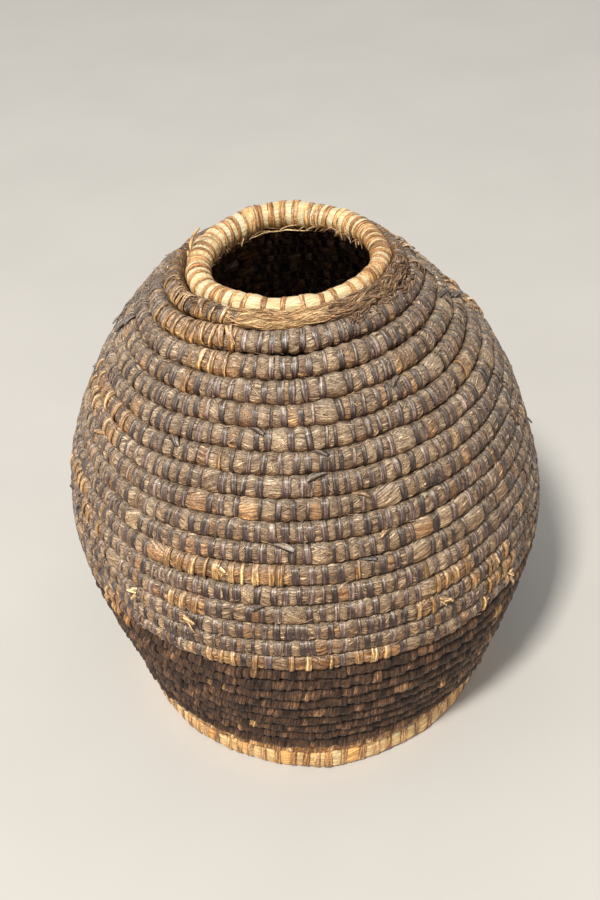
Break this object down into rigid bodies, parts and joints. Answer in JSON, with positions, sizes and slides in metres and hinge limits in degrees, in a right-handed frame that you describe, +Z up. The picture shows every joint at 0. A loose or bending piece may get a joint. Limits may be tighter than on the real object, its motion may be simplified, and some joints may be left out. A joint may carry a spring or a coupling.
{
  "type": "coiled basket jar",
  "caption": "Wide round coiled grass basket with a narrow mouth: grass courses sewn together with bark strips, a thick straw ring at the mouth and a straw ring foot.",
  "frame": {"origin": "centre of the surface that the foot ring stands on", "axes": "+Z up along the jar's axis; -Y is the front, toward which the top courses rise a little"},
  "size_m": [0.3218, 0.3219, 0.3299],
  "materials": {
    "grass_bundle": "dry matt grass stems, dusty tan-brown",
    "bark_strip": "dark purplish-brown bark, slightly satin",
    "straw_bundle": "pale glossy straw",
    "tan_strip": "tan-brown bark, satin"
  },
  "bodies": {
    "root": {"foot_bundle": "straw_bundle", "foot_wraps": "tan_strip", "ledge_coil": "straw_bundle", "ledge_wraps": "tan_strip", "floor_coils": "grass_bundle", "floor_wraps": "bark_strip", "course_01": "grass_bundle", "course_02": "grass_bundle", "course_03": "grass_bundle", "course_04": "grass_bundle", "course_05": "grass_bundle", "course_06": "grass_bundle", "course_07": "grass_bundle", "course_08": "grass_bundle", "course_09": "grass_bundle", "course_10": "grass_bundle", "course_11": "grass_bundle", "course_12": "grass_bundle", "course_13": "grass_bundle", "course_14": "grass_bundle", "course_15": "grass_bundle", "course_16": "grass_bundle", "course_17": "grass_bundle", "course_18": "grass_bundle", "course_19": "grass_bundle", "course_20": "grass_bundle", "course_21": "grass_bundle", "course_22": "grass_bundle", "course_23": "grass_bundle", "course_24": "grass_bundle", "course_25": "grass_bundle", "course_26": "grass_bundle", "wraps_01": "bark_strip", "wraps_02": "bark_strip", "wraps_03": "bark_strip", "wraps_04": "bark_strip", "wraps_05": "bark_strip", "wraps_06": "bark_strip", "wraps_07": "bark_strip", "wraps_08": "bark_strip", "wraps_09": "bark_strip", "wraps_10": "bark_strip", "wraps_11": "bark_strip", "wraps_12": "bark_strip", "wraps_13": "bark_strip", "wraps_14": "bark_strip", "wraps_15": "bark_strip", "wraps_16": "bark_strip", "wraps_17": "bark_strip", "wraps_18": "bark_strip", "wraps_19": "bark_strip", "wraps_20": "bark_strip", "wraps_21": "bark_strip", "wraps_22": "bark_strip", "wraps_23": "bark_strip", "wraps_24": "bark_strip", "wraps_25": "bark_strip", "wraps_26": "bark_strip", "rim_bundle": "straw_bundle", "rim_wraps": "tan_strip"}
  },
  "joints": []
}
